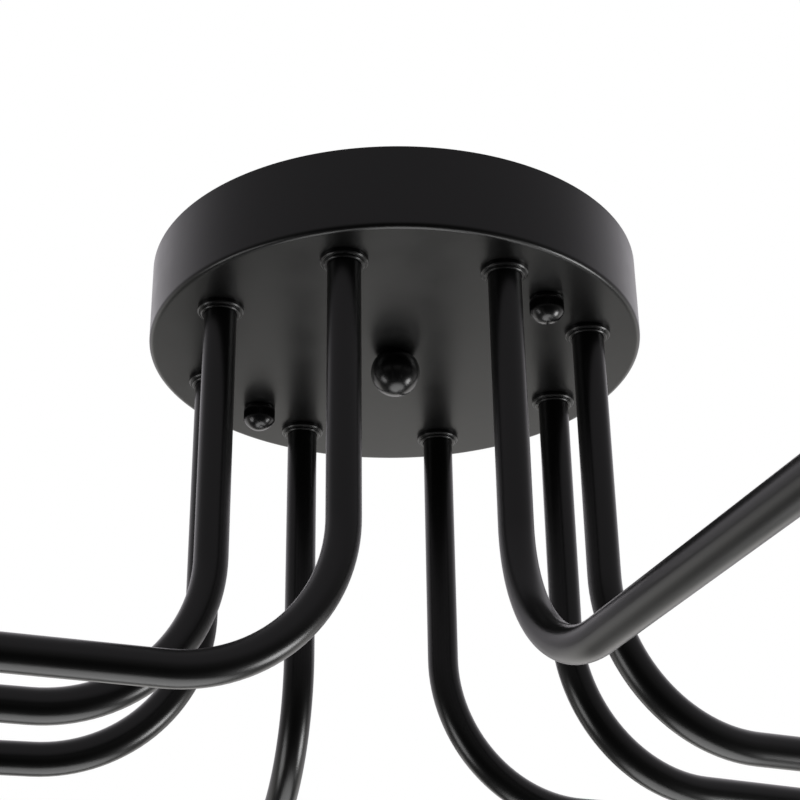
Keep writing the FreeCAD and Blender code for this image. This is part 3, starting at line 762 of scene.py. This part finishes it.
@dataclass
class Wiring:
    """The wiring block under the bar, and the leads to it from above each arm."""

    length: float = 44.0
    width: float = 20.0
    height: float = 15.0
    corner: float = 1.2
    edge: float = 0.6
    columns: int = 4
    terminal_pitch: float = 10.0
    row: float = 5.0
    well_radius: float = 2.6
    well_depth: float = 3.0
    entry_radius: float = 2.3
    entry_depth: float = 5.0
    groove_width: float = 1.0
    groove_depth: float = 1.5
    screw_radius: float = 2.1
    screw_depth: float = 1.0
    screw_top: float = 2.9
    slot_width: float = 0.7
    slot_depth: float = 1.7
    lead_radius: float = 2.0
    lead_start: float = -18.3
    lead_height: float = -10.0
    bend_radius: float = 8.0
    straight: float = 12.0
    insertion: float = 4.7

    def build_block(self) -> None:
        """Mould the block with its lead entries, screw wells and grooves, and set its screws."""
        bottom = BAR_BOTTOM - self.height
        columns = [self.terminal_pitch * (step - (self.columns - 1) / 2)
                   for step in range(self.columns)]
        cutters = []
        for x in columns:
            for side in (-1, 1):
                well = rod(self.well_radius, bottom - OVERCUT, bottom + self.well_depth, x,
                           side * self.row)
                entry = moved(rod(self.entry_radius, -OVERCUT, self.entry_depth, sides=32),
                              x, side * self.width / 2, self.lead_height,
                              Matrix.Rotation(side * math.pi / 2, 4, "X"))
                cutters += [well, entry]
        for x in columns[:-1]:
            left = x + (self.terminal_pitch - self.groove_width) / 2
            cutters.append(box((left, -self.width, bottom - OVERCUT),
                               (left + self.groove_width, self.width, bottom + self.groove_depth)))
        solid = plate(self.length, self.width, self.corner, [], bottom, BAR_BOTTOM, self.edge)
        show("wiring_block", cut(solid, cutters), POLYAMIDE, "root", "terminal_block")
        low, high = bottom + self.screw_depth, bottom + self.screw_top
        head = turned([(0, low), (self.screw_radius, low, 0.5), (self.screw_radius, high),
                       (0, high)], sides=32)
        slot = box((-self.screw_radius - OVERCUT, -self.slot_width / 2, bottom),
                   (self.screw_radius + OVERCUT, self.slot_width / 2, bottom + self.slot_depth))
        screws = repeated(cut(head, [slot]), ZINC, (GRID, {
            "Columns": self.columns, "Rows": 2,
            "Width": self.terminal_pitch * (self.columns - 1) * MM, "Depth": 2 * self.row * MM}))
        show("wiring_block_screws", screws, ZINC, "root")

    def build_leads(self, ring: "Bushings") -> None:
        """Sweep all eight leads.

        Args:
            ring: The bushings that the leads rise from.
        """
        points, edges = [], []
        per_side = ring.count // 2
        for place, (base_x, base_y) in enumerate(ring.places()):
            side = 1 if place < per_side else -1
            step = place if side > 0 else ring.count - 1 - place
            x = self.terminal_pitch * ((per_side - 1) / 2 - step)
            face = side * self.width / 2
            start = len(points)
            points += [(base_x, base_y, self.lead_start), (base_x, base_y, self.lead_height),
                       (x, face + side * self.straight, self.lead_height),
                       (x, face - side * self.insertion, self.lead_height)]
            edges += [(start + run, start + run + 1) for run in range(3)]
        leads = repeated(new_mesh(points, edges=edges), JACKET, (TUBE, {
            "Radius": self.lead_radius * MM, "Bend Radius": self.bend_radius * MM,
            "Bend Steps": 10, "Sides": 20}))
        show("canopy_wiring", leads, JACKET, "root", "canopy_leads")


@dataclass
class Bushings:
    """The eight flanged bushings in which the arms swivel, and their thin nuts."""

    count: int = len(ARM_NUMBERS)
    bore: float = 6.4
    lip_radius: float = 7.7
    lip_bottom: float = -38.0
    lip_chamfer: float = 0.4
    flange_radius: float = 9.0
    flange_bottom: float = -37.0
    flange_chamfer: float = 0.5
    shank_radius: float = 7.9
    top: float = -24.8
    thread_pitch: float = 1.0
    thread_depth: float = 0.35
    thread_root: float = 7.5
    thread_fade: float = 0.3
    nut_flats: float = 21.0
    nut_height: float = 4.0

    def places(self) -> list[Vector]:
        """Each bushing's axis, counter-clockwise from the X axis."""
        bases = [arm_base(number) for number in ARM_NUMBERS]
        return sorted(bases, key=lambda base: math.atan2(base.y, base.x) % math.tau)

    def build(self) -> None:
        """Turn one bushing and one nut and repeat both round the ring."""
        first = self.places()[0]
        ring = {"Count": self.count, "Ring Radius": first.length * MM,
                "First Angle": math.atan2(first.y, first.x)}
        bushing = turned([
            (self.bore, self.lip_bottom, 0.2),
            (self.lip_radius - self.lip_chamfer, self.lip_bottom, 0.15),
            (self.lip_radius, self.lip_bottom + self.lip_chamfer, 0.15),
            (self.lip_radius, self.flange_bottom, 0.1),
            (self.flange_radius - self.flange_chamfer, self.flange_bottom, 0.15),
            (self.flange_radius, self.flange_bottom + self.flange_chamfer, 0.2),
            (self.flange_radius, PLATE_BOTTOM, 0.1),
            (self.shank_radius, PLATE_BOTTOM),
            (self.shank_radius, self.top, 0.3),
            (self.bore, self.top, 0.2)],
            sides=72, closed=True, steps=4, run=self.thread_pitch / THREAD_ROWS)
        thread = wave(self.thread_depth, self.thread_root, self.thread_fade, self.thread_pitch,
                      Bottom=PLATE_BOTTOM + self.thread_fade, Top=self.top)
        bushings = repeated(bushing, POWDER_COAT, (CUT_WAVE, thread), (RING, ring))
        show("swivel_bushings", bushings, POWDER_COAT, "root", "arm_bushings")
        nut = hexagon(self.nut_flats, PLATE_TOP, self.nut_height, self.shank_radius + NUT_CLEARANCE)
        show("bushing_lock_nuts", repeated(nut, ZINC, (RING, ring)), ZINC, "root", "bushing_nuts")


@dataclass
class CapNuts:
    """The two knurled cap nuts that hold the canopy up on its studs."""

    top: float = -35.1
    radius: float = 6.7
    crown_top: float = -41.3
    knurl_bottom: float = -40.8
    plain_band: float = 1.1
    band_step: float = 0.05
    groove: float = 0.35
    groove_height: float = 0.21
    edge: float = 0.4
    dome: float = 3.9
    bore: float = 2.05
    bore_end: float = -42.5
    ridges: int = 52
    ridge_depth: float = 0.38
    ridge_fade: float = 0.25
    step: float = 0.8

    def build(self) -> None:
        """Turn, knurl and lacquer both nuts."""
        rim = self.radius - self.edge
        band = self.radius - self.band_step
        lip = self.top - self.plain_band
        knurl_top = lip - self.groove
        bulge = (rim ** 2 + self.dome ** 2) / (2 * self.dome)
        centre = self.crown_top - self.dome + bulge
        outline = arc(0, centre, bulge, 0, math.asin(rim / bulge), steps=18) + [
            (self.radius, self.knurl_bottom), (self.radius, knurl_top),
            (self.radius - self.groove, knurl_top + self.groove_height), (band, lip),
            (band, self.top - self.edge), (rim, self.top), (self.bore, self.top),
            (self.bore, self.bore_end), (0, self.bore_end)]
        knurl = wave(self.ridge_depth, self.radius - self.groove, self.ridge_fade, Top=knurl_top)
        for name in ("cap_nut_left", "cap_nut_right"):
            nut = turned(outline, self.ridges * 4, run=self.step)
            knurled = repeated(nut, LACQUER, (CUT_WAVE, knurl | {"Waves Round": self.ridges}))
            show(name.replace("cap_nut", "knurled_cap"),
                 moved(knurled, joint_place(f"{name}_turn").x, 0, 0), LACQUER, name, name)


@dataclass
class Finial:
    """The ball under the canopy's centre and the hexagon screw that holds it."""

    ball_radius: float = 10.0
    centre: float = -42.3
    float_gap: float = 0.1
    bore: float = 3.05
    bore_end: float = -45.5
    screw_radius: float = 3.0
    screw_end: float = -45.0
    screw_chamfer: float = 0.6
    thread_pitch: float = 1.0
    thread_depth: float = 0.5
    head_flats: float = 10.0
    head_height: float = 4.0

    def build(self) -> None:
        """Turn the ball and make its screw."""
        top = PLATE_BOTTOM - self.float_gap
        last = math.acos((self.centre - top) / self.ball_radius)
        outline = arc(0, self.centre, self.ball_radius, 0, last, steps=48) + [
            (self.bore, top), (self.bore, self.bore_end), (0, self.bore_end)]
        show("finial_ball", turned(outline, sides=96), LACQUER, "ball_finial", "ball_finial")
        core, in_head = self.screw_radius - self.screw_chamfer, PLATE_TOP + self.head_height / 4
        shank = turned([
            (0, self.screw_end), (core, self.screw_end),
            (self.screw_radius, self.screw_end + self.screw_chamfer), (self.screw_radius, in_head),
            (0, in_head)], sides=24, run=self.thread_pitch / THREAD_ROWS)
        thread = wave(self.thread_depth, core, self.thread_depth, self.thread_pitch)
        head = hexagon(self.head_flats, PLATE_TOP, self.head_height, 0.0)
        bolt = welded([repeated(shank, ZINC, (CUT_WAVE, thread)), head])
        show("finial_bolt", bolt, ZINC, "root", "finial_screw")


@dataclass
class Arm:
    """One arm: the bent tube with its lead, and the cup, lampholder, shell and contact at its end.

    Heights are in the light's frame, lengths along the run are from the end of the tube.
    """

    number: int
    base: Vector = field(init=False)
    azimuth: float = field(init=False)
    reach: float = field(init=False)
    tube_radius: float = 6.35
    tube_wall: float = 1.0
    tube_top: float = -23.5
    head_radius: float = 7.6
    head_thickness: float = 1.2
    run_height: float = -199.1
    bend_radius: float = 60.4
    lead_radius: float = 2.0
    lead_top: float = -18.6
    lead_end: float = 8.7
    cup_radius: float = 19.0
    cup_wall: float = 1.0
    cup_corner: float = 6.0
    cup_back: float = -8.0
    cup_front: float = 43.0
    hem: float = 0.6
    hem_length: float = 1.6
    boss_radius: float = 8.6
    boss_length: float = 5.0
    collar_bore: float = 6.65
    holder_radius: float = 17.7
    holder_taper: float = 6.0
    holder_front: float = 39.0
    holder_floor: float = 9.0
    lead_hole: float = 2.3
    well_radius: float = 8.0
    shell_seat: float = 12.0
    shell_front: float = 38.0
    shell_radius: float = 13.2
    shell_wall: float = 0.4
    shell_clearance: float = 0.05
    thread_pitch: float = 3.629
    thread_depth: float = 0.75
    thread_rows: int = 8
    thread_fade: float = 0.5
    rim_margin: float = 0.1
    thread_bottom: float = 1.2
    socket_middle: float = 25.2
    contact: Sequence[Sequence[float]] = (
        (0, 0), (4.5, 0, 0.15), (4.5, 0.8, 0.25), (2.6, 1.2, 0.3), (1.5, 2.5, 0.5), (0, 2.5))

    def __post_init__(self) -> None:
        """Take the arm's place, azimuth and reach from the frame."""
        socket = next(mount for mount in frame["record"]["mounts"]
                      if mount["name"] == f"lamp_socket_{self.number}")
        self.base = arm_base(self.number)
        way = Vector(socket["axis"][:2])
        self.azimuth = math.atan2(way.y, way.x)
        self.reach = (Vector(socket["pos_m"][:2]) / MM - self.base).dot(way) - self.socket_middle

    def along(self) -> Matrix:
        """Where a piece turned about Z stands on the run, with its zero at the tube's end."""
        corner = Matrix.Translation(Vector((*self.base, self.run_height)) * MM)
        reach = Matrix.Translation((self.reach * MM, 0, 0)) @ Matrix.Rotation(math.pi / 2, 4, "Y")
        return corner @ Matrix.Rotation(self.azimuth, 4, "Z") @ reach

    def sweep(self, radius: float, top: float, end: float, finish: Finish, wall: float = 0.0,
              sides: int = 40) -> Mesh:
        """Sweep a round bar or tube down the swivel axis and out along the run.

        Args:
            radius: The outer radius.
            top: The upper end's height.
            end: The outer end, from the end of the arm's tube.
            finish: The finish of the result.
            wall: The wall's thickness, or zero for a solid bar.
            sides: How many faces go round.

        Returns:
            The swept mesh, in place.
        """
        path = new_mesh([(0, 0, top), (0, 0, self.run_height),
                         (self.reach + end, 0, self.run_height)], edges=[(0, 1), (1, 2)])
        bar = repeated(path, finish, (TUBE, {
            "Radius": radius * MM, "Bend Radius": self.bend_radius * MM, "Sides": sides,
            "Bend Steps": 32, "Capped": not wall}))
        if wall:
            carrier = placed("carrier", welded([bar]))
            modifier = carrier.modifiers.new("wall", "SOLIDIFY")
            modifier.thickness, modifier.offset = wall * MM, -1
            bar = cooked(carrier)
        return moved(bar, *self.base, 0, Matrix.Rotation(self.azimuth, 4, "Z"))

    def build(self) -> None:
        """Make and dress every piece of the arm."""
        lead = self.sweep(self.lead_radius, self.lead_top, self.lead_end, JACKET, sides=16)
        still, along = Matrix(), self.along()
        for name, mesh, place, finish, node in (
                ("bent_tube", self.tube(), still, TUBE_COAT, "arm_tube"),
                ("tube_lead", lead, still, JACKET, "arm_lead"),
                ("spun_cup", self.cup(), along, POWDER_COAT, "lamp_cup"),
                ("porcelain_holder", self.holder(), along, PORCELAIN, "lampholder"),
                ("rolled_shell", self.shell(), along, SHELL, "screw_shell"),
                ("contact_button", self.button(), along, BRASS, "centre_contact")):
            mesh.transform(place)
            show(f"{name}_{self.number}", mesh, finish, f"arm_{self.number}",
                 f"{node}_{self.number}")

    def tube(self) -> Mesh:
        """Bend the tube and flare its head.

        Returns:
            The tube, in place.
        """
        tube = self.sweep(self.tube_radius, self.tube_top, 0, TUBE_COAT, self.tube_wall, sides=48)
        bottom = self.tube_top - self.head_thickness
        bore = self.tube_radius - self.tube_wall / 2
        head = turned([(bore, bottom), (self.head_radius, bottom, 0.3),
                       (self.head_radius, self.tube_top, 0.4), (bore, self.tube_top)],
                      sides=48, closed=True)
        return welded([tube, moved(head, *self.base, 0)])

    def cup(self) -> Mesh:
        """Spin the lamp cup with its collar and hemmed mouth.

        Returns:
            The cup, upright, from the tube's end.
        """
        inner = self.cup_radius - self.cup_wall
        back, hem_end = self.cup_back - self.boss_length, self.cup_front - self.hem_length
        return turned([
            (self.collar_bore, back, 0.3), (self.boss_radius, back, 0.6),
            (self.boss_radius, self.cup_back, 0.8),
            (self.cup_radius, self.cup_back, self.cup_corner),
            (self.cup_radius, self.cup_front, 0.7), (inner - self.hem, self.cup_front, 0.7),
            (inner - self.hem, hem_end, 0.4), (inner, hem_end - self.hem, 0.3),
            (inner, self.cup_back + self.cup_wall, self.cup_corner - self.cup_wall),
            (self.collar_bore, self.cup_back + self.cup_wall)], sides=96, closed=True, steps=7)

    def holder(self) -> Mesh:
        """Mould the porcelain lampholder round its shell, contact well and lead hole.

        Returns:
            The lampholder, upright, from the tube's end.
        """
        back, taper = self.cup_back + self.cup_wall, self.holder_taper
        bore = self.shell_radius + self.shell_wall + self.shell_clearance
        return turned([
            (self.collar_bore, back), (self.holder_radius - taper, back, 0.8),
            (self.holder_radius, back + taper, 2.0), (self.holder_radius, self.holder_front, 1.4),
            (bore, self.holder_front, 0.6), (bore, self.shell_seat),
            (self.well_radius, self.shell_seat, 0.3), (self.well_radius, self.holder_floor, 0.6),
            (self.lead_hole, self.holder_floor, 0.2), (self.lead_hole, 0),
            (self.collar_bore, 0)], sides=96, closed=True)

    def shell(self) -> Mesh:
        """Roll the screw shell's round thread into its thin wall.

        Returns:
            The shell, upright, from the tube's end.
        """
        inner, outer = self.shell_radius, self.shell_radius + self.shell_wall
        floor = self.shell_seat + self.shell_wall
        blank = turned([
            (self.well_radius, self.shell_seat), (outer, self.shell_seat, 0.8),
            (outer, self.shell_front), (inner, self.shell_front), (inner, floor, 0.4),
            (self.well_radius, floor)],
            sides=72, closed=True, steps=4, run=self.thread_pitch / self.thread_rows)
        # The fade ends short of the wall, so that the wall moves in and out as a whole
        rim = inner - self.thread_fade - self.rim_margin
        thread = wave(self.thread_depth, rim, self.thread_fade, self.thread_pitch,
                      Bottom=floor + self.thread_bottom, Top=self.shell_front - self.shell_wall)
        return repeated(blank, SHELL, (ROLLED_WAVE, thread))

    def button(self) -> Mesh:
        """Turn the centre contact: a flat disc with a rounded tip."""
        return turned([(radius, self.holder_floor + height, *fillet)
                       for radius, height, *fillet in self.contact], sides=48, steps=4)


@dataclass(frozen=True)
class SoftBox:
    """A round soft light: its direction from the object, distance and diameter in metres, watts."""

    title: str
    way: tuple[float, float, float]
    distance: float
    size: float
    power: float


SOFT_BOXES = (SoftBox("left soft box", (-0.78, -0.18, -0.6), distance=1.3, size=0.6, power=3.4),
              SoftBox("right soft box", (0.79, 0.09, -0.6), distance=1.2, size=0.45, power=6.0),
              SoftBox("low soft box", (0.08, 0.28, -0.96), distance=1.6, size=1.5, power=16.5))


@dataclass
class Studio:
    """The camera as the photograph was taken, soft lights, a white surround and a pale floor.

    Directions are given as seen from the camera: right, away and up. A ramp gives two heights in
    the surround and the amounts below and above them: of the light behind the camera, of the second
    tint, and of each step, which the light is multiplied by. The light ahead of the camera is given
    with the range of directions over which it takes over.
    """

    heading_past_first_arm: float = 12.9
    pitch: float = 27.75
    roll: float = -1.0
    lens: float = 81.0
    sensor: float = 36.0
    clip: tuple[float, float] = (0.01, 50.0)
    camera_place: tuple[float, float, float] = (6.4, -650.9, -382.8)
    shift: tuple[float, float] = (-0.01375, -0.04)
    aim: tuple[float, float, float] = (0, 0, -0.06)
    floor_depth: float = 4000.0
    floor_size: float = 25000.0
    floor_colour: str = "#f3f2ef"
    floor_roughness: float = 0.8
    floor_glow: float = 0.5
    brightest: tuple[float, float, float] = (-0.07, 1, 0)
    behind: Ramp = (-0.25, 0.3, 0.03, 0.38)
    ahead: tuple[float, float, float] = (-0.15, 0.85, 1.2)
    tint: Ramp = (-0.3, 0.3, 0.0, 1.0)
    tints: tuple[Colour, Colour] = ((1.0, 0.985, 0.95, 1), (0.985, 0.95, 1.0, 1))
    steps: Sequence[Ramp] = (
        (-1.0, -0.53, 0.5, 1.0), (-0.53, -0.31, 0.2, 1.1), (-0.2, 0.1, 1.0, 0.6),
        (0.25, 0.5, 1.0, 1.3))

    def facing(self, right: float, away: float, up: float) -> Vector:
        """Turn a direction as seen from the camera to the light's frame.

        Args:
            right: How far it goes to the right.
            away: How far it goes away from the camera, level.
            up: How far it goes up.

        Returns:
            The direction in the light's frame.
        """
        first = Bushings().places()[0]
        heading = math.atan2(first.y, first.x) + math.radians(self.heading_past_first_arm)
        return Matrix.Rotation(heading, 3, "Z") @ Vector((right, away, up))

    def build(self) -> None:
        """Set up the camera, the lights, the surround and the floor."""
        self.add_camera()
        self.add_surround()
        self.add_floor()
        for lamp in SOFT_BOXES:
            self.add_light(lamp)

    def add_camera(self) -> None:
        """Place the camera at the photograph's viewing angle."""
        data = bpy.data.cameras.new("camera")
        data.lens, data.sensor_width, data.sensor_fit = self.lens, self.sensor, "HORIZONTAL"
        data.shift_x, data.shift_y = self.shift
        data.clip_start, data.clip_end = self.clip
        pitch, roll = math.radians(self.pitch), math.radians(self.roll)
        ahead = self.facing(0, math.cos(pitch), math.sin(pitch))
        level, upright = self.facing(1, 0, 0), self.facing(0, -math.sin(pitch), math.cos(pitch))
        right = level * math.cos(roll) + upright * math.sin(roll)
        up = upright * math.cos(roll) - level * math.sin(roll)
        turn = Matrix((right, up, -ahead)).transposed().to_4x4()
        camera = placed("camera", data)
        camera.matrix_world = Matrix.Translation(self.facing(*self.camera_place) * MM) @ turn
        bpy.context.scene.camera = camera

    def add_surround(self) -> None:
        """Give a white background, and a softer light that is dim behind the camera."""
        scene = bpy.context.scene
        scene.view_settings.view_transform = "Standard"
        scene.world = bpy.data.worlds.new("studio")
        scene.world.use_nodes = True
        tree = scene.world.node_tree
        tree.nodes.clear()
        way = add_node(tree, "ShaderNodeTexCoord").outputs["Generated"]
        away = add_node(tree, "ShaderNodeVectorMath", {0: way, 1: self.facing(*self.brightest)},
                        operation="DOT_PRODUCT").outputs["Value"]
        height = add_node(tree, "ShaderNodeSeparateXYZ", {0: way}).outputs["Z"]
        behind, tint = (add_node(tree, "ShaderNodeMapRange", {
            "Value": height, "From Min": start, "From Max": end, "To Min": low, "To Max": high})
            for start, end, low, high in (self.behind, self.tint))
        start, end, high = self.ahead
        glow = add_node(tree, "ShaderNodeMapRange", {
            "Value": away, "From Min": start, "From Max": end, "To Min": behind, "To Max": high},
            interpolation_type="SMOOTHSTEP")
        for start, end, low, high in self.steps:
            share = add_node(tree, "ShaderNodeMapRange", {
                "Value": height, "From Min": start, "From Max": end, "To Min": low, "To Max": high},
                interpolation_type="SMOOTHSTEP")
            glow = add_node(tree, "ShaderNodeMath", {0: glow, 1: share}, operation="MULTIPLY")
        colour = add_node(tree, "ShaderNodeMix", {
            "Factor": tint, 6: self.tints[0], 7: self.tints[1]}, data_type="RGBA")
        soft, white = (
            add_node(tree, "ShaderNodeBackground", {"Color": shade, "Strength": strength})
            for shade, strength in ((colour.outputs[2], glow), ((1, 1, 1, 1), 1.0)))
        seen = add_node(tree, "ShaderNodeLightPath").outputs["Is Camera Ray"]
        mixed = add_node(tree, "ShaderNodeMixShader", {0: seen, 1: soft, 2: white})
        add_node(tree, "ShaderNodeOutputWorld", {"Surface": mixed})

    def add_floor(self) -> None:
        """Lay a plain pale floor well below the light."""
        size, pale = self.floor_size, linear(self.floor_colour)
        corners = [(x, y, -self.floor_depth)
                   for x, y in ((-size, -size), (size, -size), (size, size), (-size, size))]
        floor = placed("floor", new_mesh(corners, [(0, 1, 2, 3)]))
        paint = bpy.data.materials.new("pale floor")
        paint.use_nodes = True
        sockets = paint.node_tree.nodes["Principled BSDF"].inputs
        for name, value in (("Base Color", pale), ("Roughness", self.floor_roughness),
                            ("Emission Color", pale), ("Emission Strength", self.floor_glow)):
            sockets[name].default_value = value
        floor.data.materials.append(paint)
        floor.visible_diffuse = floor.visible_glossy = floor.visible_shadow = False

    def add_light(self, lamp: SoftBox) -> None:
        """Add a round soft box that faces the object.

        Args:
            lamp: The soft box.
        """
        data = bpy.data.lights.new(lamp.title, "AREA")
        data.shape, data.size, data.energy = "DISK", lamp.size, lamp.power
        aim = Vector(self.aim)
        place = aim + self.facing(*lamp.way).normalized() * lamp.distance
        turn = (aim - place).to_track_quat("-Z", "Y").to_matrix().to_4x4()
        placed(lamp.title, data).matrix_world = Matrix.Translation(place) @ turn


def main() -> None:
    """Build and dress the light, piece by piece, and set up its studio."""
    logging.basicConfig(level=logging.INFO, format="%(name)s: %(message)s")
    Studio().build()
    ring, ball, wiring = Bushings(), Finial(), Wiring()
    Canopy().build(ring, ball)
    wiring.build_block()
    ring.build()
    ball.build()
    CapNuts().build()
    wiring.build_leads(ring)
    for number in ARM_NUMBERS:
        Arm(number).build()


if __name__ == "__main__":
    main()
